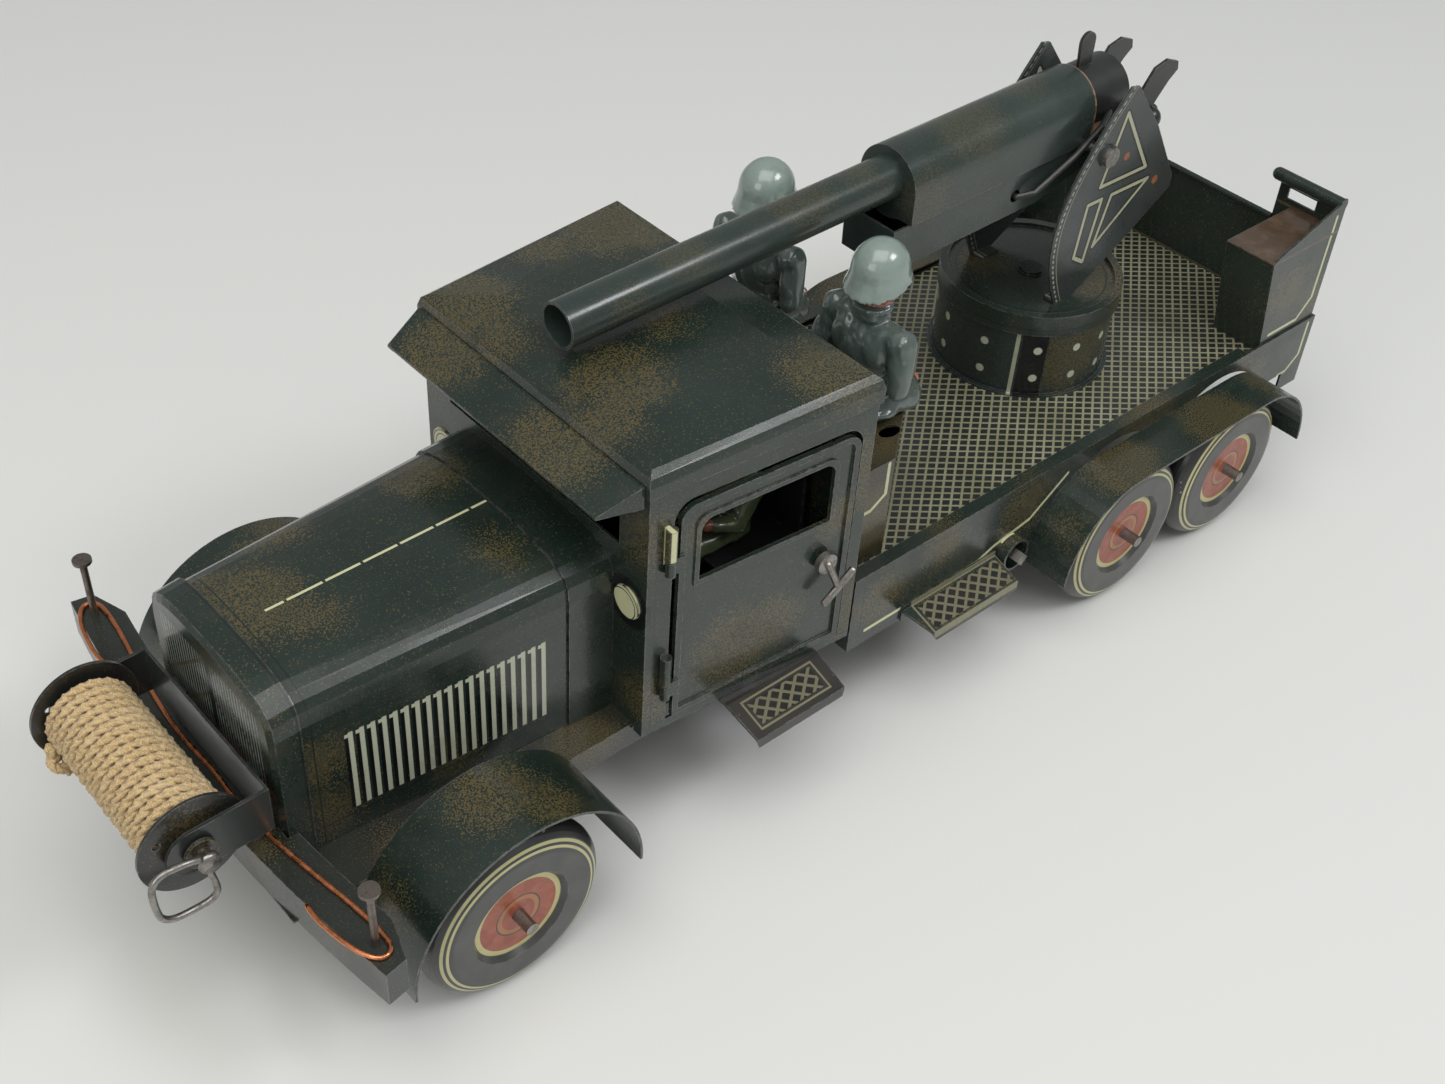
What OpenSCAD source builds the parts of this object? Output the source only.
/* [Sheet and shafts] */
// thickness of the tin sheet
sheet = 0.6; // [0.4:0.1:1.2]
// radius of the wheel axles
axle_r = 1.5; // [1:0.1:2.5]
// running clearance between a shaft and its bore
run_fit = 0.06; // [0.02:0.01:0.1]

/* [Wheels] */
// outer radius of a wheel
wheel_r = 22; // [18:0.5:26]
// width of a wheel across its tyre
wheel_w = 10.5; // [8:0.5:14]
// distance from the centre plane to the outer face of a hub
hub_face_y = 54.7; // [48:0.1:60]
// front axle position along the truck
front_axle_x = 50.9; // [45:0.1:60]
// middle axle position along the truck
mid_axle_x = -146.6; // [-155:0.1:-140]
// rear axle position along the truck
rear_axle_x = -191.2; // [-200:0.1:-185]

/* [Cab] */
// front of the cab
cab_front_x = 7.1; // [0:0.1:15]
// rear of the cab
cab_rear_x = -51.2; // [-60:0.1:-45]
// half width of the cab at its front
cab_front_half = 39.2; // [34:0.1:44]
// half width of the cab at its rear
cab_rear_half = 44.1; // [40:0.1:48]
// lower edge of the cab sides
cab_bottom_z = 34.2; // [30:0.1:40]
// upper edge of the cab sides
cab_top_z = 103; // [95:0.5:110]
// top of the roof
roof_top_z = 110.6; // [105:0.1:115]

/* [Bonnet] */
// front of the radiator
radiator_x = 85.2; // [80:0.1:90]
// half width at the radiator
bonnet_front_half = 23; // [18:0.5:28]
// half width at the cowl
bonnet_rear_half = 28; // [22:0.5:32]
// top of the radiator
bonnet_front_top = 80.6; // [70:0.1:85]
// top of the cowl
bonnet_rear_top = 82.4; // [75:0.1:90]

/* [Load bed] */
// front end of the bed
bed_front_x = -51.9; // [-60:0.1:-50]
// rear end of the bed
bed_rear_x = -234.2; // [-245:0.1:-225]
// half width of the bed
bed_half = 44.1; // [40:0.1:48]
// rim height of the bed
bed_rim_z = 50.8; // [46:0.1:56]
// height of the bed floor
bed_floor_z = 48.2; // [44:0.1:52]
// lower edge of the bed sides
skirt_z = 28.3; // [24:0.1:34]

/* [Gun] */
// centre of the turret
turret_x = -157; // [-170:0.1:-150]
// radius of the turret drum
turret_r = 23.4; // [20:0.1:30]
// top of the turret drum
turret_z = 73.4; // [65:0.1:80]
// height of the barrel axis above the turret centre
gun_z = 122.9; // [110:0.1:130]
// height of the trunnion
trunnion_z = 112.4; // [100:0.1:120]
// angle that the muzzle hangs down at rest
gun_dip = 1.6; // [0:0.1:6]
// place along the gun that its lengths are measured from
gun_x = -159.5; // [-170:0.1:-150]
// distance from there to the muzzle
muzzle_reach = 159.1; // [120:0.1:180]
// outer radius of the barrel
barrel_r = 5.3; // [4:0.1:7]
// half width of the sleeve
sleeve_half = 8.9; // [7:0.1:11]

/* [Winch] */
// winch axis along the truck
winch_x = 103; // [95:0.1:110]
// winch axis height
winch_z = 55.5; // [50:0.1:60]
// radius of the winch flanges
flange_r = 11.4; // [9:0.1:13]
// diameter of the rope
rope_d = 2.6; // [2:0.1:4]

/* [Hidden] */
$fn = 48;
steps = 96;
from_mid = -(winch_x + 12.55 + bed_rear_x) / 2;
bonnet_z = 37.2;
chassis_top = 36;
wheel_mid_y = hub_face_y - wheel_w / 2;
axle_end_y = hub_face_y + 3.4;
cab_slope = atan((cab_rear_half - cab_front_half) / (cab_front_x - cab_rear_x));
door_front_x = 0;
door_rear_x = -47.2;
door_low_z = 37.4;
door_high_z = 97.2;
fender_r = 29;
fender_y = 57.3;
arbor_x = -108;
arbor_z = 31;
great_teeth = 28;
idler_pinion = 15;
idler_teeth = 28;
axle_pinion = 10;
mesh_a = (great_teeth + idler_pinion) / 2;
mesh_b = (idler_teeth + axle_pinion) / 2;
shaft_dx = mid_axle_x - arbor_x;
shaft_dz = wheel_r - arbor_z;
shaft_gap = sqrt(shaft_dx * shaft_dx + shaft_dz * shaft_dz);
foot_a = (mesh_a * mesh_a - mesh_b * mesh_b + shaft_gap * shaft_gap) / (2 * shaft_gap);
foot_h = sqrt(mesh_a * mesh_a - foot_a * foot_a);
idler_x = arbor_x + (shaft_dx * foot_a - shaft_dz * foot_h) / shaft_gap;
idler_z = arbor_z + (shaft_dz * foot_a + shaft_dx * foot_h) / shaft_gap;
dir_a = atan2(idler_z - arbor_z, idler_x - arbor_x);
dir_b = atan2(wheel_r - idler_z, mid_axle_x - idler_x);
trunnion_x = -158.6;
body_tin = [0.17, 0.22, 0.21];
camo_tin = [0.33, 0.29, 0.18];
cream = [0.85, 0.84, 0.66];
bright = [0.55, 0.54, 0.52];
dark = [0.1, 0.12, 0.12];

// moves a piece so that the truck's middle is at the origin
module place() {
  translate([from_mid, 0, 0]) children();
}

// a box given by its two corners
module span(a, b) {
  translate(a) cube(b - a);
}

// a rod along Y
module rod_y(x, z, y0, y1, r) {
  translate([x, y0, z]) rotate([-90, 0, 0]) cylinder(r = r, h = y1 - y0);
}

// the same shape on both sides
module both() {
  children();
  mirror([0, 1, 0]) children();
}

// a flat outline in X and Z, thick along Y from y0 to y1
module plate_y(y0, y1) {
  translate([0, y1, 0]) rotate([90, 0, 0]) linear_extrude(y1 - y0) children();
}

// a round bar through a list of points
module wire(points, r, facets = 10) {
  for (i = [0:len(points) - 2])
    hull() {
      translate(points[i]) sphere(r = r, $fn = facets);
      translate(points[i + 1]) sphere(r = r, $fn = facets);
    }
}

module chassis_frame() {
  color(dark) difference() {
    union() {
      span([bed_front_x - 2, -36, chassis_top - sheet], [92, 36, chassis_top]);
      both() {
        span([bed_front_x - 2, 35.4, 29.5], [86, 36, chassis_top]);
        span([bed_rear_x + 4, 29, 30], [bed_front_x - 0.62, 29.8, bed_floor_z - 0.8]);
        span([bed_front_x - 2, 29, 30], [bed_front_x + 1, 36, chassis_top]);
        for (x = [mid_axle_x, rear_axle_x])
          plate_y(29, 29.8) hull() {
            translate([x - 9, 32]) square([18, 1]);
            translate([x, wheel_r]) circle(r = 4.5);
          }
      }
      for (x = [-214, -168, -78])
        span([x - 3, -29, 44], [x + 3, 29, bed_floor_z - 0.8]);
    }
    for (x = [mid_axle_x, rear_axle_x])
      rod_y(x, wheel_r, -40, 40, axle_r + run_fit);
    rod_y(arbor_x, arbor_z, 20, 40, 2.6);
    translate([front_axle_x, 0, 30]) cylinder(r = 2.5 + run_fit, h = 10);
    span([12, -18, 30], [42, 18, 40]);
    span([60, -18, 30], [77, 18, 40]);
  }
}

module front_bumper() {
  reach = 400;
  color(body_tin) difference() {
    translate([93 - reach, 0, 0]) {
      for (s = [0, 1]) mirror([0, s, 0]) rotate([0, 0, 9.14])
        translate([reach - 9.4, -sheet, chassis_top]) cube([9.4, sheet, 45.2 - chassis_top]);
      rotate([0, 0, -9.14]) rotate_extrude(angle = 18.28, $fn = 400)
        polygon([[reach, chassis_top], [reach, 45.2], [reach - 9.4, 45.2],
          [reach - 9.4, 45.2 - sheet], [reach - sheet, 45.2 - sheet],
          [reach - sheet, chassis_top + sheet], [reach - 9.4, chassis_top + sheet],
          [reach - 9.4, chassis_top]]);
    }
    both() translate([0, 0, 30]) linear_extrude(20) polygon([[76, 51], [79.2, 51], [84, 66], [76, 66]]);
    span([78, -24.4, chassis_top + 0.7], [radiator_x + 0.04, 24.4, 50]);
  }
}

module bumper_pins() {
  color(bright) both() translate([85.6, 56.4, 45.2]) {
    cylinder(r = 0.8, h = 16);
    translate([0, 0, 15.8]) cylinder(r = 2.1, h = 0.8);
  }
}

module copper_wire() {
  z = 45.8;
  half = [[88, 0], [88.2, 14], [87.2, 28], [84.6, 44], [83.4, 54], [83.6, 58.6],
    [86.2, 59.8], [88.2, 57.8], [90, 54], [91, 48], [91, 41]];
  color([0.72, 0.36, 0.2]) both() wire([for (p = half) [p[0], p[1], z]], 0.55, 8);
}

module winch_bracket() {
  color(body_tin) difference() {
    union() {
      span([radiator_x + 2.2, -24.4, winch_z - 5.5], [radiator_x + 2.8, 24.4, winch_z + 6]);
      both() {
        plate_y(23.6, 24.4) hull() {
          translate([radiator_x + 2.2, winch_z - 5.5]) square([1, 11.5]);
          translate([winch_x + 1, winch_z]) circle(r = 5.5);
        }
        span([radiator_x + 0.1, 12, winch_z + 1], [radiator_x + 2.8, 17, winch_z + 1.6]);
      }
    }
    rod_y(winch_x, winch_z, -30, 30, 1.6 + run_fit);
  }
}

module winch_drum() {
  color(dark) {
    rod_y(winch_x, winch_z, -26.6, 27.4, 1.6);
    rod_y(winch_x, winch_z, -22, 22, 4);
    difference() {
      both() rod_y(winch_x, winch_z, 21.6, 22.3, flange_r);
      for (a = [30, 210]) rotate([0, 0, 0])
        rod_y(winch_x + 8 * cos(a), winch_z + 8 * sin(a), -23, 23, 0.9);
    }
    rod_y(winch_x, winch_z, -26.6, -25.4, 3);
    rod_y(winch_x, winch_z, 24.9, 25.8, 3.4);
  }
}

module winch_rope() {
  turns = 16;
  pitch = 42.4 / turns;
  core = 9.5 - rope_d * 0.5;
  ridge = [for (i = [0:turns - 1]) for (k = [0:5])
    [core + rope_d * 0.5 * sin(18 + k * 28.8), -21.2 + i * pitch + pitch * (k + 0.5) / 6]];
  color([0.78, 0.62, 0.4]) {
    translate([winch_x, 0, winch_z]) rotate([-90, 0, 0])
      rotate_extrude() polygon(concat([[4.05, -21.2]], ridge, [[4.05, 21.2]]));
    wire([[winch_x + 8.4, -19, winch_z + 1], [winch_x + 10.2, -19.4, winch_z - 4],
      [winch_x + 10, -19.2, winch_z - 8]], 1.3);
    translate([winch_x + 10, -19.2, winch_z - 8]) sphere(r = 2, $fn = 14);
    wire([[winch_x + 10, -19.2, winch_z - 8], [winch_x + 8.2, -18.2, winch_z - 10.3]], 1.3);
  }
}

module winch_crank() {
  y = 28.2;
  loop = [[winch_x, winch_z], [winch_x - 0.6, winch_z - 7.4], [winch_x + 2.2, winch_z - 10.4],
    [winch_x + 8.4, winch_z - 10], [winch_x + 11.6, winch_z - 6], [winch_x + 11.8, winch_z + 2.4],
    [winch_x + 7, winch_z + 3.6], [winch_x, winch_z]];
  color(bright) difference() {
    union() {
      wire([for (p = loop) [p[0], y, p[1]]], 0.75);
      rod_y(winch_x, winch_z, 27, 29, 2.3);
    }
    rod_y(winch_x, winch_z, 20, 27.42, 1.62);
  }
}

// outline of the bonnet across the truck, on its own base line
module bonnet_outline(half, top, inset = 0) {
  h = top - bonnet_z;
  low = h * 0.78;
  polygon(concat(
    [[-half + inset, -1], [half - inset, -1]],
    [for (k = [0:14]) let (c = cos(k * 180 / 14), q = sin(k * 180 / 14))
      [(half - inset) * sign(c) * pow(abs(c), 0.62), low + (h - inset - low) * pow(max(q, 0), 0.62)]]));
}

// slab of the bonnet cross section at one place along the truck
module bonnet_slab(x, half, top, inset = 0, thick = 0.1) {
  translate([x, 0, bonnet_z]) rotate([90, 0, 90]) linear_extrude(thick)
    bonnet_outline(half, top, inset);
}

module radiator_shell() {
  color(body_tin) difference() {
    hull() {
      bonnet_slab(radiator_x - 6.4, bonnet_front_half + 0.7, bonnet_front_top + 0.7);
      bonnet_slab(radiator_x - 0.9, bonnet_front_half + 0.5, bonnet_front_top);
      bonnet_slab(radiator_x - 0.1, bonnet_front_half - 1, bonnet_front_top - 1.2);
    }
    hull() {
      bonnet_slab(radiator_x - 8, bonnet_front_half + 0.1, bonnet_front_top + 0.1);
      bonnet_slab(radiator_x - 1.2, bonnet_front_half - 0.4, bonnet_front_top - 0.5);
    }
    span([radiator_x - 12, -40, 30], [radiator_x + 2, 40, chassis_top + 0.02]);
    span([radiator_x - 2.6, -40, 30], [radiator_x + 2, 40, chassis_top + 0.74]);
  }
}

module bonnet() {
  rear = cab_front_x + 0.02;
  color(body_tin) difference() {
    union() {
      hull() {
        bonnet_slab(18.4, bonnet_rear_half - 0.6, bonnet_rear_top - 0.4);
        bonnet_slab(radiator_x - 6.6, bonnet_front_half, bonnet_front_top);
      }
      hull() {
        bonnet_slab(rear, bonnet_rear_half + 0.6, bonnet_rear_top + 0.2);
        bonnet_slab(18.3, bonnet_rear_half, bonnet_rear_top);
      }
    }
    hull() {
      bonnet_slab(rear - 1, bonnet_rear_half - 0.4, bonnet_rear_top - 0.8, 0.4);
      bonnet_slab(18.3, bonnet_rear_half - 1.2, bonnet_rear_top - 1.2, 0.2);
    }
    hull() {
      bonnet_slab(18.2, bonnet_rear_half - 1.2, bonnet_rear_top - 1.2, 0.2);
      bonnet_slab(radiator_x - 6, bonnet_front_half - 0.6, bonnet_front_top - 0.7);
    }
    span([0, -40, 30], [radiator_x, 40, chassis_top + 0.02]);
  }
}

module front_fender() {
  color(body_tin) difference() {
    union() {
      difference() {
        rod_y(front_axle_x - 0.9, wheel_r, 36.05, fender_y, fender_r);
        rod_y(front_axle_x - 0.9, wheel_r, 36.65, fender_y + 1, fender_r - sheet);
      }
      rod_y(front_axle_x - 0.9, wheel_r, 36.05, 36.65, fender_r - 0.2);
    }
    span([0, 30, -10], [110, 60, wheel_r - 1]);
    rod_y(front_axle_x, wheel_r, 30, 38, 14);
    span([front_axle_x - 14, 30, 0], [front_axle_x + 14, 38, wheel_r]);
  }
}

// plan outline of the cab, moved in by a distance
module cab_plan(inset = 0) {
  polygon([[cab_front_x - inset, cab_front_half - inset], [cab_rear_x + inset, cab_rear_half - inset],
    [cab_rear_x + inset, -cab_rear_half + inset], [cab_front_x - inset, -cab_front_half + inset]]);
}

// puts its children on the left side of the cab, which tapers
module on_cab_side() {
  translate([cab_front_x, cab_front_half, 0]) rotate([0, 0, -cab_slope]) children();
}

// side outline in cab side coordinates, x forward from the cab front
module door_outline(grow = 0) {
  r = 4 + grow;
  x0 = door_rear_x - cab_front_x;
  x1 = door_front_x - cab_front_x;
  hull() {
    translate([x0 - grow, door_low_z - grow]) square([1, 1]);
    translate([x1 + grow - 1, door_low_z - grow]) square([1, 1]);
    translate([x0 - grow + r, door_high_z + grow - r]) circle(r = r);
    translate([x1 + grow - r, door_high_z + grow - r]) circle(r = r);
  }
}

module cab_body() {
  color(camo_tin) difference() {
    translate([0, 0, cab_bottom_z]) linear_extrude(cab_top_z - cab_bottom_z) cab_plan();
    translate([0, 0, cab_bottom_z - 1]) linear_extrude(cab_top_z) cab_plan(sheet);
    both() on_cab_side() plate_y(-2, 2) door_outline(0.9);
    span([0, -30, 84.5], [10, 30, 100.6]);
    span([0, -24, 30], [10, 24, 74]);
    span([cab_rear_x - 1, -20, 82], [cab_rear_x + 2, 20, 98]);
    span([0, -36.4, 30], [10, 36.4, chassis_top + 0.02]);
    span([cab_rear_x - 1, -36.6, 28], [cab_rear_x + 2, 36.6, chassis_top + 0.4]);
  }
  color(body_tin) both() for (z = [49.4, 85.4]) on_cab_side()
    translate([door_front_x - cab_front_x + 2.3, 1.25, z]) {
      cylinder(r = 1.3, h = 8);
      translate([0, 0, -4.8]) cylinder(r = 0.35, h = 12);
    }
  color(cream) both() translate([cab_front_x - 0.1, 33.2, 70.8]) rotate([0, 90, 0])
    cylinder(r = 4, h = 0.5);
}

module roof_block(grow) {
  module layer(z, inset, rise) {
    hull() {
      translate([cab_front_x + 0.6 - inset, 0, z]) linear_extrude(0.1)
        square([0.2, 2 * (cab_front_half + grow - inset)], center = true);
      translate([cab_rear_x - 0.6 + inset, 0, z + rise]) linear_extrude(0.1)
        square([0.2, 2 * (cab_rear_half + grow - inset)], center = true);
    }
  }
  hull() {
    layer(cab_top_z - 0.4, 0, 0);
    layer(roof_top_z - 5.4, 0, 1);
    layer(roof_top_z - 3.4, 0.6, 1.2);
    layer(roof_top_z - 2.3, 2, 1.3);
    translate([-22, 0, roof_top_z - 0.4 + grow]) linear_extrude(0.1)
      square([36, 50], center = true);
  }
}

module cab_roof() {
  color(camo_tin) difference() {
    roof_block(0.62);
    translate([0, 0, -sheet - 0.3]) intersection() {
      roof_block(0.05);
      span([cab_rear_x - 0.1, -60, 90], [cab_front_x + 0.1, 60, 120]);
    }
  }
}

module sun_visor() {
  color(body_tin) difference() {
    hull() {
      span([cab_front_x + 0.85, -38.4, 104.6], [cab_front_x + 1.45, 38.4, 105.4]);
      span([17.6, -36, 100.6], [18.2, 36, 101.2]);
      both() span([cab_front_x + 0.85, 37.4, 100], [cab_front_x + 1.4, 38.4, 105]);
    }
    hull() {
      span([cab_front_x + 0.6, -37.8, 98], [cab_front_x + 1.4, 37.8, 104.8]);
      span([17.2, -35.4, 98], [17.8, 35.4, 100.8]);
    }
    span([0, -34, 97], [20, 34, 100.7]);
  }
}

module cab_seat() {
  color(body_tin) difference() {
    union() {
      span([-46, -30, 57], [-24, 30, 58]);
      span([-46.8, -30, chassis_top + 0.02], [-46, 30, 84]);
      both() span([-46, 29.2, chassis_top + 0.02], [-24, 30, 58]);
    }
    span([-60, -10, 60], [-46.1 + 0.9, 10, 78]);
  }
}

module cab_door() {
  color(body_tin) on_cab_side() {
    difference() {
      union() {
        plate_y(-0.35, 0.25) door_outline(-0.2);
        plate_y(0.2, 0.9) difference() {
          door_outline(-0.2);
          offset(delta = -1.6) door_outline(-0.2);
        }
        plate_y(0.2, 0.7) difference() {
          door_window(1.2);
          door_window(0);
        }
      }
      plate_y(-2, 2) door_window(0);
      translate([-46.9, -3, 64.6]) rotate([-90, 0, 0]) cylinder(r = 1 + run_fit, h = 8);
    }
    for (z = [45, 81]) translate([door_front_x - cab_front_x + 2.3, 1.25, z]) difference() {
      union() {
        cylinder(r = 1.15, h = 4);
        span([-3.6, -0.6, 0], [0, 0.3, 4]);
      }
      translate([0, 0, -1]) cylinder(r = 0.35 + run_fit, h = 9);
    }
  }
}

module door_window(grow) {
  x0 = -40.6 - cab_front_x - grow;
  x1 = -5.6 - cab_front_x + grow;
  hull() {
    translate([x0, 75.4 - grow]) square([1, 1]);
    translate([x1 - 1, 75.4 - grow]) square([1, 1]);
    translate([x0 + 3, 91.6 + grow - 3]) circle(r = 3);
    translate([x1 - 3, 91.6 + grow - 3]) circle(r = 3);
  }
}

module door_handle() {
  color(bright) on_cab_side() {
    translate([-46.9, -1.6, 64.6]) rotate([-90, 0, 0]) cylinder(r = 1, h = 4);
    translate([-46.9, 1.2, 64.6]) rotate([-90, 0, 0]) cylinder(r = 2.6, h = 1.6);
    translate([-46.9, 0, 64.6]) {
      wire([[0, 2.9, 0], [-3.2, 3.4, -7.6]], 0.9);
      wire([[-6.8, 3.6, -4.4], [0.4, 3.6, -10.8]], 0.9);
    }
    translate([-48.4, -1.6, 64]) cube([8, 0.6, 1.2]);
  }
}

module cab_step() {
  color(body_tin) {
    span([-42, 38.2, 33.5], [-14, 43.6, 34.1]);
    hull() {
      span([-42, 43, 33.5], [-14, 43.6, 34.1]);
      span([-41.6, 53.2, 30.4], [-14.6, 53.8, 31]);
    }
    hull() {
      span([-41.6, 53.2, 30.4], [-14.6, 53.8, 31]);
      span([-41, 53.6, 28.4], [-15.2, 54, 28.8]);
    }
  }
}

module bed_step() {
  color(body_tin) {
    span([-103, bed_half + 0.02, 28.6], [-69.6, bed_half + 0.6, 33]);
    hull() {
      span([-103, bed_half + 0.02, 31.2], [-69.6, bed_half + 0.6, 31.8]);
      span([-102.8, 52.6, 28.6], [-72.4, 53.2, 29.2]);
    }
    hull() {
      span([-102.8, 52.6, 28.6], [-72.4, 53.2, 29.2]);
      span([-102.2, 53.2, 26.6], [-73.4, 53.6, 27]);
    }
  }
}

// a seated figure of simple lumps facing the rear, hips at the origin
module seated_crew() {
  color([0.33, 0.38, 0.37]) difference() {
    union() {
    hull() {
      translate([0, 0, 3]) scale([0.8, 1.05, 0.6]) sphere(r = 8, $fn = 20);
      translate([1, 0, 16]) scale([0.7, 1, 0.5]) sphere(r = 8.6, $fn = 20);
      translate([1, 0, 24]) scale([0.6, 1.2, 0.5]) sphere(r = 8.4, $fn = 20);
      translate([0.4, 0, 29]) sphere(r = 3.6, $fn = 14);
    }
    both() hull() {
      translate([1, 10.4, 24.6]) sphere(r = 3.8, $fn = 14);
      translate([2, 12.4, 14]) sphere(r = 3.4, $fn = 14);
    }
    both() hull() {
      translate([2, 12.4, 14]) sphere(r = 3.4, $fn = 14);
      translate([-8, 6.6, 8.6]) sphere(r = 2.9, $fn = 12);
    }
    both() hull() {
      translate([0, 4.6, 2.6]) sphere(r = 4.2, $fn = 14);
      translate([-9.4, 5, 3]) sphere(r = 3.9, $fn = 14);
    }
    hull() {
      translate([0, 0, 34]) scale([0.9, 0.8, 1]) sphere(r = 5.6, $fn = 18);
      translate([-0.6, 0, 39.6]) scale([1.05, 0.95, 0.92]) sphere(r = 7.6, $fn = 24);
    }
    }
    span([-30, -30, -20], [30, 30, -0.46]);
  }
}

module crew_left() {
  translate([-72.6, 20.6, 77.3]) seated_crew();
}

module crew_right() {
  translate([-75.4, -19.6, 77.3]) rotate([0, 0, 6]) seated_crew();
}

module crew_bench() {
  color(camo_tin) difference() {
    linear_plan(chassis_top + 12.3, 76.8) polygon([[bed_front_x - sheet - 0.02, 38.4], [-66, 38.4], [-80.4, 27],
      [-80.4, -27], [-66, -38.4], [bed_front_x - sheet - 0.02, -38.4]]);
    linear_plan(40, 76.8 - sheet) polygon([[bed_front_x - 2 * sheet, 38.4 - sheet],
      [-65.8, 38.4 - sheet], [-79.8, 26.7], [-79.8, -26.7], [-65.8, -38.4 + sheet],
      [bed_front_x - 2 * sheet, -38.4 + sheet]]);
    both() {
      translate([-72, 30.5, 70]) scale([1.6, 1, 1]) cylinder(r = 1.9, h = 10);
      span([-76, 33.2, 70], [-74.8, 34.6, 80]);
    }
  }
}

// upright prism between two heights
module linear_plan(z0, z1) {
  translate([0, 0, z0]) linear_extrude(z1 - z0) children();
}

module driver() {
  translate([-33.6, 18.4, 59]) color([0.3, 0.36, 0.27]) {
    hull() {
      translate([0, 0, 3.4]) scale([0.8, 1.05, 0.6]) sphere(r = 7, $fn = 20);
      translate([-1, 0, 17]) scale([0.7, 1.2, 0.6]) sphere(r = 7, $fn = 20);
      translate([-0.6, 0, 23]) sphere(r = 3, $fn = 14);
    }
    both() hull() {
      translate([-0.6, 8, 17.6]) sphere(r = 2.8, $fn = 12);
      translate([5, 8.6, 10]) sphere(r = 2.4, $fn = 12);
    }
    both() hull() {
      translate([5, 8.6, 10]) sphere(r = 2.4, $fn = 12);
      translate([11.5, 6, 11.1]) sphere(r = 1.8, $fn = 12);
    }
    both() hull() {
      translate([0, 4, 3.6]) sphere(r = 3.6, $fn = 14);
      translate([13, 4.2, 3.8]) sphere(r = 2.8, $fn = 14);
    }
    both() hull() {
      translate([13, 4.2, 3.8]) sphere(r = 2.8, $fn = 14);
      translate([16, 4.2, -10]) sphere(r = 2, $fn = 14);
    }
    translate([0.6, 0, 31]) scale([1, 0.9, 1.05]) sphere(r = 6, $fn = 24);
  }
}

// frame of the steering column: origin at the rim, axis up and to the rear
module on_column() {
  translate([-13.2, 18.4, 72.6]) rotate([0, -26, 0]) children();
}

module steering_column() {
  color(dark) on_column() {
    translate([0, 0, -39.4]) cylinder(r = 1.6, h = 37.4);
    translate([0, 0, -39.5]) cylinder(r = 2.2, h = 2);
  }
}

module steering_wheel() {
  color(dark) on_column() difference() {
    union() {
      rotate_extrude() translate([8.6, 0]) circle(r = 0.9, $fn = 16);
      for (a = [30, 150, 270]) rotate([0, 0, a]) span([0, -0.7, -0.6], [8.4, 0.7, 0.4]);
      translate([0, 0, -1.5]) cylinder(r = 2.2, h = 2.6);
    }
  }
}

module axle_bracket() {
  color(dark) {
    difference() {
      union() {
        span([front_axle_x - 6, -33.4, 33.4], [front_axle_x + 6, 33.4, 34.2]);
        both() plate_y(32.6, 33.4) hull() {
          translate([front_axle_x - 6, 33.4]) square([12, 0.8]);
          translate([front_axle_x, wheel_r]) circle(r = 4);
        }
      }
      rod_y(front_axle_x, wheel_r, -40, 40, axle_r + run_fit);
    }
    translate([front_axle_x, 0, 33.4]) cylinder(r = 2.5, h = 3.4);
    translate([front_axle_x, 0, chassis_top + 0.4]) cylinder(r = 3.6, h = 1);
  }
}

module front_axle() {
  color(bright) rod_y(front_axle_x, wheel_r, -axle_end_y, axle_end_y, axle_r);
}

// gear in X and Z about a centre; one tooth points along the angle phase
module gear_y(x, z, teeth, y0, y1, phase, bore) {
  r = teeth / 2;
  color([0.62, 0.5, 0.28]) translate([x, y1, z]) rotate([90, 0, 0]) linear_extrude(y1 - y0)
    difference() {
      union() {
        circle(r = r - 1.15);
        for (i = [0:teeth - 1]) rotate(phase + i * 360 / teeth)
          polygon([[r - 1.6, -0.8], [r, -0.56], [r + 0.8, -0.24], [r + 0.8, 0.24], [r, 0.56], [r - 1.6, 0.8]]);
      }
      circle(r = bore - 0.3);
    }
}

module mid_axle() {
  color(bright) rod_y(mid_axle_x, wheel_r, -axle_end_y, axle_end_y, axle_r);
  gear_y(mid_axle_x, wheel_r, axle_pinion, 9.4, 12.6, dir_b + 180, axle_r);
}

module rear_axle() {
  color(bright) rod_y(rear_axle_x, wheel_r, -axle_end_y, axle_end_y, axle_r);
}

// a pressed tin wheel with its axis along Y; the outer face is at +Y
module tin_wheel(x, bore) {
  w = wheel_w / 2;
  tyre = [for (k = [0:14]) let (a = -90 + k * 180 / 14) [wheel_r - 5 + 5 * cos(a), w * 0.94 * sin(a)]];
  translate([x, wheel_mid_y, wheel_r]) rotate([90, 0, 0]) {
    color(dark) rotate_extrude($fn = steps) difference() {
      polygon(concat([[bore, -1.4], [10, -1.4], [12, -w * 0.94]], tyre,
        [[12, w * 0.94], [11, w * 0.7], [bore, w * 0.7]]));
    }
    color([0.66, 0.25, 0.14]) rotate_extrude($fn = steps)
      polygon([[bore, -w], [4.4, -w], [5.4, -w + 0.9], [9.4, -w + 0.9], [10.2, -w * 0.6],
        [10.2, 0], [bore, 0]]);
  }
}

module wheel_left(x, bore) {
  mirror([0, 1, 0]) translate([0, -2 * wheel_mid_y, 0]) tin_wheel(x, bore);
}

module bed_floor() {
  color(camo_tin) difference() {
    span([bed_rear_x + 0.7, -bed_half + 0.7, bed_floor_z - 0.8], [bed_front_x - sheet - 0.02, bed_half - 0.7, bed_floor_z]);
    translate([turret_x, 0, 40]) cylinder(r = 2, h = 20);
  }
}

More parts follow.
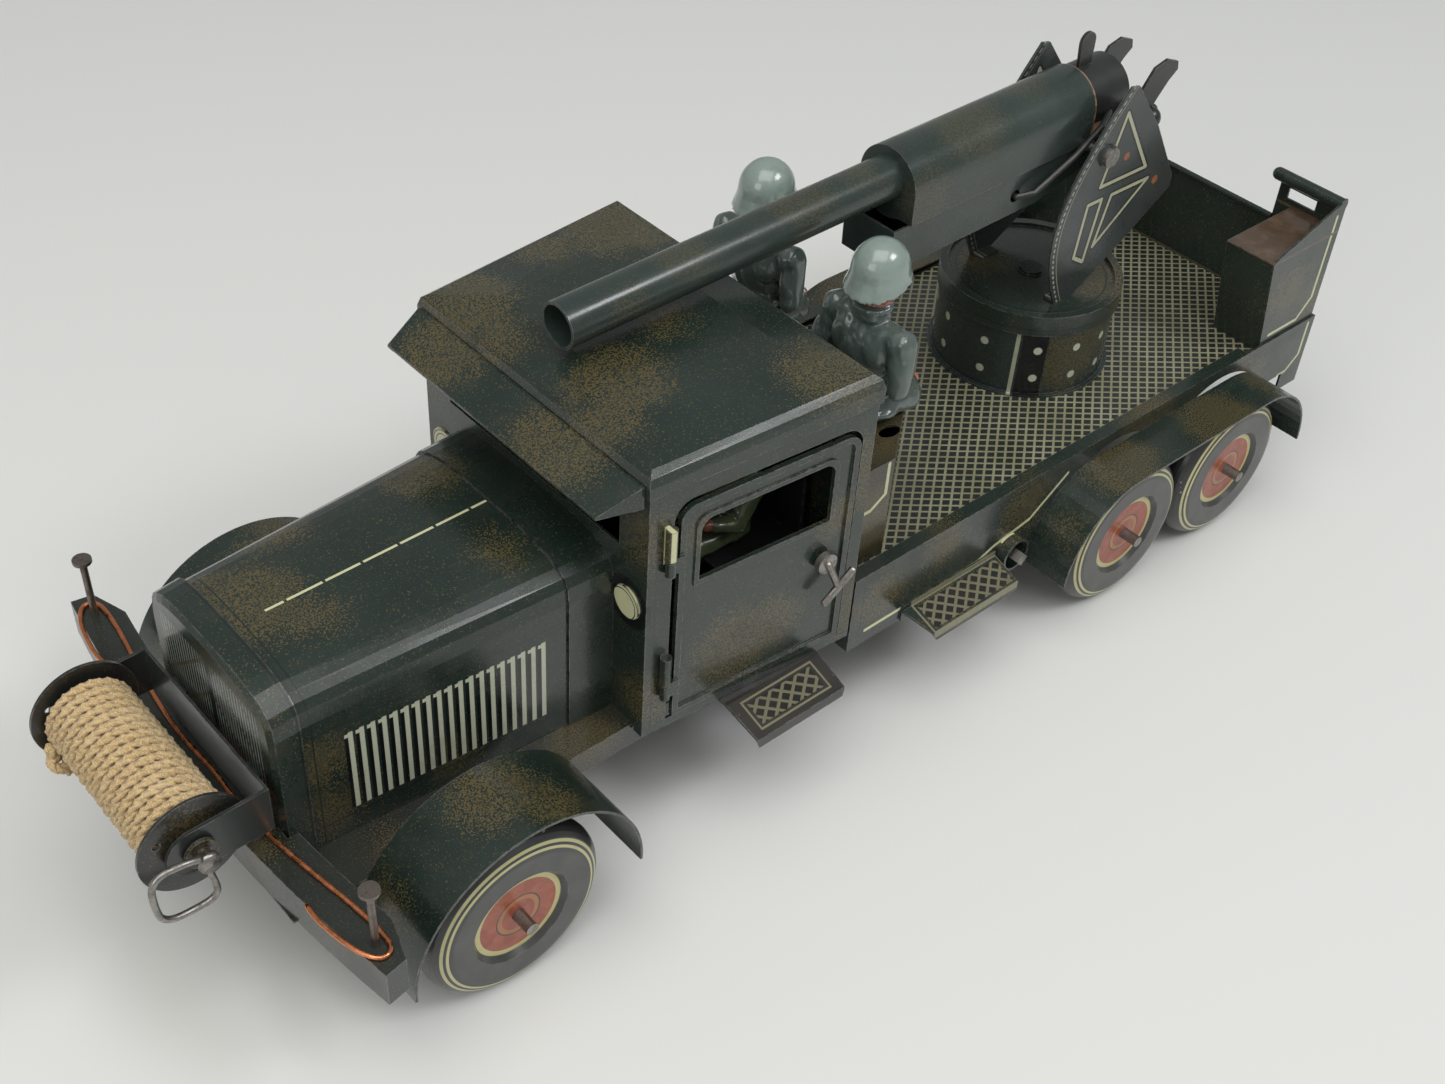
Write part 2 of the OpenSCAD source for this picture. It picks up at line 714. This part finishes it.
module bed_skirt() {
  color(body_tin) difference() {
    union() {
      difference() {
        span([bed_rear_x, -bed_half, skirt_z], [bed_front_x, bed_half, bed_rim_z]);
        span([bed_rear_x + sheet, -bed_half + sheet, 20], [bed_front_x - sheet, bed_half - sheet, 60]);
        span([-225, -60, 20], [-119, 60, 34.4]);
        rod_y(mid_axle_x, wheel_r, -60, 60, 25.6);
        rod_y(rear_axle_x, wheel_r, -60, 60, 25.6);
        span([bed_front_x - 1, -36.6, 20], [bed_front_x + 1, 36.6, chassis_top + 0.4]);
      }
      both() span([-202.6, bed_half - 3.6, bed_rim_z - sheet], [bed_front_x - 0.1, bed_half - 0.1, bed_rim_z]);
      difference() {
        rod_y(arbor_x, arbor_z, bed_half - 0.6, 47.6, 4.6);
        rod_y(arbor_x, arbor_z, 40, 50, 4);
      }
    }
    rod_y(arbor_x, arbor_z, 40, 50, 2.6);
  }
}

module rear_fender() {
  arc = 23.6;
  color(camo_tin) difference() {
    hull() {
      rod_y(mid_axle_x + 6, wheel_r, bed_half + 0.02, fender_y + 0.4, arc);
      rod_y(rear_axle_x - 4.6, wheel_r, bed_half + 0.02, fender_y + 0.4, arc);
    }
    hull() {
      rod_y(mid_axle_x + 6, wheel_r, bed_half - 1, fender_y + 1, arc - sheet);
      rod_y(rear_axle_x - 4.6, wheel_r, bed_half - 1, fender_y + 1, arc - sheet);
    }
    span([-240, 40, -10], [-100, 60, wheel_r]);
  }
}

module rear_seat() {
  x0 = bed_rear_x + 1;
  color(camo_tin) {
    both() {
      plate_y(42.86, 43.46) polygon([[-209, bed_floor_z], [-203.2, 78.5], [-206, 80], [x0 + 0.6, 88.4], [x0, bed_floor_z]]);
      hull() {
        span([-209.6, 28, bed_floor_z], [-209, 43.1, bed_floor_z + 0.6]);
        span([-203.8, 28, 77.9], [-203.2, 43.1, 78.5]);
      }
      span([x0, 28, 78], [-203.4, 43.1, 78.6]);
      plate_y(28, 28.6) polygon([[-209, bed_floor_z], [-203.6, 78.4], [x0, 78.4], [x0, bed_floor_z]]);
      difference() {
        span([x0, 23, bed_floor_z], [x0 + 0.6, 43.1, 87]);
        span([x0 - 1, 26, 80.4], [x0 + 2, 35, 83.6]);
      }
      translate([x0 + 1.8, 22.4, 86.8]) rotate([-90, 0, 0]) cylinder(r = 1.8, h = 21);
      translate([x0 + 1.8, 22.4, 86.8]) sphere(r = 1.8, $fn = 24);
    }
    span([x0, -23.1, bed_floor_z], [x0 + 0.6, 23.1, 73.4]);
    translate([x0 + 0.7, -23, 73.4]) rotate([-90, 0, 0]) cylinder(r = 0.8, h = 46);
  }
}

module turret_base() {
  color(body_tin) {
    difference() {
      translate([turret_x, 0, bed_floor_z]) cylinder(r = turret_r, h = 20.6, $fn = steps);
      translate([turret_x, 0, bed_floor_z - 1]) cylinder(r = turret_r - sheet, h = 21, $fn = steps);
      translate([turret_x, 0, 60]) cylinder(r = 3.2 + run_fit, h = 20);
    }
    difference() {
      translate([turret_x, 0, bed_floor_z]) cylinder(r = turret_r + 1.2, h = 0.6, $fn = steps);
      translate([turret_x, 0, bed_floor_z - 1]) cylinder(r = turret_r - 0.4, h = 5, $fn = steps);
    }
  }
}

module turret_cap() {
  r = turret_r + 0.9;
  color(body_tin) translate([turret_x, 0, 0]) {
    difference() {
      translate([0, 0, 67.6]) cylinder(r = r, h = turret_z - 67.6, $fn = steps);
      translate([0, 0, 60]) cylinder(r = r - sheet, h = 9.4, $fn = steps);
      translate([0, 0, turret_z - 0.9]) cylinder(r = r - 2.2, h = 2, $fn = steps);
      translate([0, 0, 60]) cylinder(r = r - 4, h = 11.4, $fn = steps);
    }
    translate([0, 0, 66.4]) cylinder(r = 3.2, h = 7);
    translate([0, 0, 65.4]) cylinder(r = 5, h = 1.6);
    translate([0, 0, 69.2]) cylinder(r = 7, h = 3);
  }
}

// outline of the gun cheek, a curved triangle standing on the cap
module cheek_outline() {
  base = turret_z - 0.92;
  lead = [for (k = [0:10]) let (t = k / 10)
    [-149 - 14 * pow(t, 2.2) + 9.4 * sin(180 * t) * (1 - 0.4 * t), base + 57 * t]];
  polygon(concat(lead, [[-166, base + 56.4], [-178, base + 42], [-189.6, base + 24.6], [-189.8, base + 21],
    [-173, base + 10], [-156, base]]));
}

module cheek() {
  color(body_tin) difference() {
    union() {
      plate_y(14.1, 14.8) cheek_outline();
      span([-156, 11, turret_z - 0.9], [-149.2, 14.8, turret_z - 0.3]);
      rod_y(trunnion_x, trunnion_z, 13.4, 15.4, 3);
    }
    rod_y(trunnion_x, trunnion_z, 5, 20, 1.5);
  }
}

module trunnion_pin() {
  color(bright) {
    rod_y(trunnion_x, trunnion_z, -16, 16, 1.5);
    both() rod_y(trunnion_x, trunnion_z, 15.42, 16.4, 2.6);
  }
}

// turns its children from the level gun to the rest angle
module on_gun() {
  translate([trunnion_x, 0, trunnion_z]) rotate([0, gun_dip, 0])
    translate([-trunnion_x, 0, -trunnion_z]) children();
}

module gun_barrel() {
  color(camo_tin) on_gun() difference() {
    translate([gun_x + 46, 0, gun_z]) rotate([0, 90, 0])
      cylinder(r = barrel_r, h = muzzle_reach - 46, $fn = steps);
    translate([gun_x + 40, 0, gun_z]) rotate([0, 90, 0])
      cylinder(r = barrel_r - 0.7, h = muzzle_reach, $fn = steps);
  }
}

// cross section of the sleeve, round on top with flat sides
module sleeve_outline(inset) {
  union() {
    translate([0, -1.5]) circle(r = sleeve_half - inset, $fn = steps);
    translate([-sleeve_half + inset, -9.2]) square([2 * (sleeve_half - inset), 7.7]);
  }
}

module gun_sleeve() {
  color(camo_tin) on_gun() difference() {
    translate([gun_x + 0.8, 0, gun_z]) difference() {
      rotate([90, 0, 90]) linear_extrude(63.5) sleeve_outline(0);
      translate([-1, 0, 0]) rotate([90, 0, 90]) linear_extrude(63.7) sleeve_outline(sheet);
      translate([50, 0, 0]) rotate([0, 90, 0]) cylinder(r = barrel_r + 0.05, h = 30, $fn = steps);
      translate([-2, -sleeve_half + sheet, -12]) cube([64.7, 2 * (sleeve_half - sheet), 8]);
    }
    rod_y(trunnion_x, trunnion_z, -20, 20, 1.7);
  }
}

module gun_cradle() {
  color(body_tin) on_gun() difference() {
    plate_y(-8.1, 8.1) polygon([[-90.4, gun_z - 9.4], [-90.4, gun_z - 20.4], [-142, gun_z - 20.4],
      [-152, gun_z - 18], [-166, gun_z - 15], [-167, gun_z - 9.4]]);
    plate_y(-7.5, 7.5) polygon([[-91, gun_z - 9], [-91, gun_z - 19.8], [-142, gun_z - 19.8],
      [-151.8, gun_z - 17.4], [-165.8, gun_z - 14.4], [-168, gun_z - 9]]);
    rod_y(-133, gun_z - 15.6, -20, 20, 1.7);
    rod_y(trunnion_x, trunnion_z, -20, 20, 1.5 + run_fit);
  }
}

module gun_breech() {
  y = 7.4;
  color(dark) on_gun() {
    difference() {
      translate([gun_x - 12.6, 0, gun_z - 1.5]) rotate([0, 90, 0]) cylinder(r = 8.2, h = 17);
      translate([gun_x - 20, 0, gun_z - 1.5]) rotate([0, 90, 0]) cylinder(r = 4, h = 40);
      span([gun_x - 14, -9, gun_z - 20], [gun_x + 6, 9, gun_z - 8.8]);
    }
    both() plate_y(7, 7.8) polygon([[-166, gun_z - 5], [-166, gun_z - 9.4], [-173, gun_z - 12.4],
      [-181.8, gun_z - 11.3], [-185.4, gun_z - 6.8], [-189, gun_z - 2.8], [-192, gun_z - 0.6],
      [-191.4, gun_z + 1.8], [-187, gun_z + 3.6], [-182.2, gun_z + 2.6], [-178.8, gun_z - 1.8],
      [-176, gun_z - 4.8], [-171, gun_z - 5.4]]);
    plate_y(-0.5, 0.5) hull() {
      translate([-162.2, gun_z + 12.8]) circle(r = 2.6, $fn = 32);
      translate([-164.6, gun_z + 5]) square([4.4, 1]);
    }
    wire([[-133, 8.6, gun_z - 15.6], [-137, 10.6, gun_z - 15], [-150, 11.4, gun_z - 9], [-160, 10.4, gun_z - 5], [-166, 7.6, gun_z - 4]], 0.8);
    wire([[-133, 8.6, gun_z - 15.6], [-133, 6.6, gun_z - 15.6]], 0.8);
    wire([[-171, 5.8, gun_z - 5], [-182, 7.6, gun_z - 10.6]], 0.9);
    translate([-183.4, 8, gun_z - 11.4]) sphere(r = 3, $fn = 20);
  }
}

module motor_frame() {
  color(bright) difference() {
    union() {
      both() span([-152, 14, 15], [-92, 14.8, 46]);
      for (p = [[-95, 42], [-95, 18.4], [-149, 42]]) rod_y(p[0], p[1], -14.4, 14.4, 1.8);
      both() span([-152, 14, 45.4], [-92, 20, 46]);
      both() for (x = [-98, -146]) span([x - 3, 15, 45.9], [x + 3, 19, bed_floor_z - 0.8]);
    }
    rod_y(arbor_x, arbor_z, -30, 30, 2.2 + run_fit);
    rod_y(idler_x, idler_z, -30, 30, 1.2 + run_fit);
    rod_y(mid_axle_x, wheel_r, -30, 30, axle_r + run_fit);
  }
}

module winding_arbor() {
  color(bright) {
    rod_y(arbor_x, arbor_z, -16.4, 44.6, 2.2);
    translate([arbor_x, 46.4, arbor_z]) rotate([0, 45, 0]) cube([2.8, 6.4, 2.8], center = true);
  }
  gear_y(arbor_x, arbor_z, great_teeth, 5.6, 8.4, dir_a, 2.2);
}

module idler_gear() {
  color(bright) rod_y(idler_x, idler_z, -16.2, 16.2, 1.2);
  gear_y(idler_x, idler_z, idler_pinion, 5.4, 9.8, dir_a + 180 + 180 / idler_pinion, 1.2);
  gear_y(idler_x, idler_z, idler_teeth, 9.8, 12.2, dir_b + 180 / idler_teeth, 1.2);
}

module mainspring() {
  turns = 5;
  inner = 3.4;
  outer = 12.8;
  n = turns * 24;
  function at(i, off) = let (r = inner + (outer - inner) * i / n + off) [r * cos(i * 15), r * sin(i * 15)];
  color([0.35, 0.36, 0.4]) {
    translate([arbor_x, 3, arbor_z]) rotate([90, 0, 0]) linear_extrude(13)
      polygon(concat([for (i = [0:n]) at(i, -0.35)], [for (i = [n:-1:0]) at(i, 0.35)]));
    span([arbor_x + outer - 0.35, -10, arbor_z - 0.5], [-94.9, 3, arbor_z + 0.5]);
    rod_y(-95, arbor_z, -14, 5.2, 0.9);
  }
}

place() chassis_frame();
place() front_bumper();
place() bumper_pins();
place() copper_wire();
place() winch_bracket();
place() winch_drum();
place() winch_rope();
place() winch_crank();
place() radiator_shell();
place() bonnet();
place() front_fender();  // front_fender_left
place() mirror([0, 1, 0]) front_fender();  // front_fender_right
place() cab_body();
place() cab_roof();
place() sun_visor();
place() cab_seat();
place() cab_door();  // door_left
place() mirror([0, 1, 0]) cab_door();  // door_right
place() door_handle();  // door_handle_left
place() mirror([0, 1, 0]) door_handle();  // door_handle_right
place() cab_step();  // cab_step_left
place() mirror([0, 1, 0]) cab_step();  // cab_step_right
place() driver();
place() steering_column();
place() steering_wheel();
place() axle_bracket();
place() front_axle();
place() mid_axle();
place() rear_axle();
place() wheel_left(front_axle_x, axle_r + run_fit);  // wheel_front_left
place() mirror([0, 1, 0]) wheel_left(front_axle_x, axle_r + run_fit);  // wheel_front_right
place() wheel_left(mid_axle_x, axle_r);  // wheel_mid_left
place() mirror([0, 1, 0]) wheel_left(mid_axle_x, axle_r);  // wheel_mid_right
place() wheel_left(rear_axle_x, axle_r);  // wheel_rear_left
place() mirror([0, 1, 0]) wheel_left(rear_axle_x, axle_r);  // wheel_rear_right
place() bed_floor();
place() bed_skirt();
place() bed_step();  // bed_step_left
place() mirror([0, 1, 0]) bed_step();  // bed_step_right
place() crew_bench();
place() crew_left();
place() crew_right();
place() rear_seat();
place() rear_fender();  // rear_fender_left
place() mirror([0, 1, 0]) rear_fender();  // rear_fender_right
place() turret_base();
place() turret_cap();
place() cheek();  // cheek_left
place() mirror([0, 1, 0]) cheek();  // cheek_right
place() trunnion_pin();
place() gun_cradle();
place() gun_sleeve();
place() gun_barrel();
place() gun_breech();
place() motor_frame();
place() winding_arbor();
place() mainspring();
place() idler_gear();
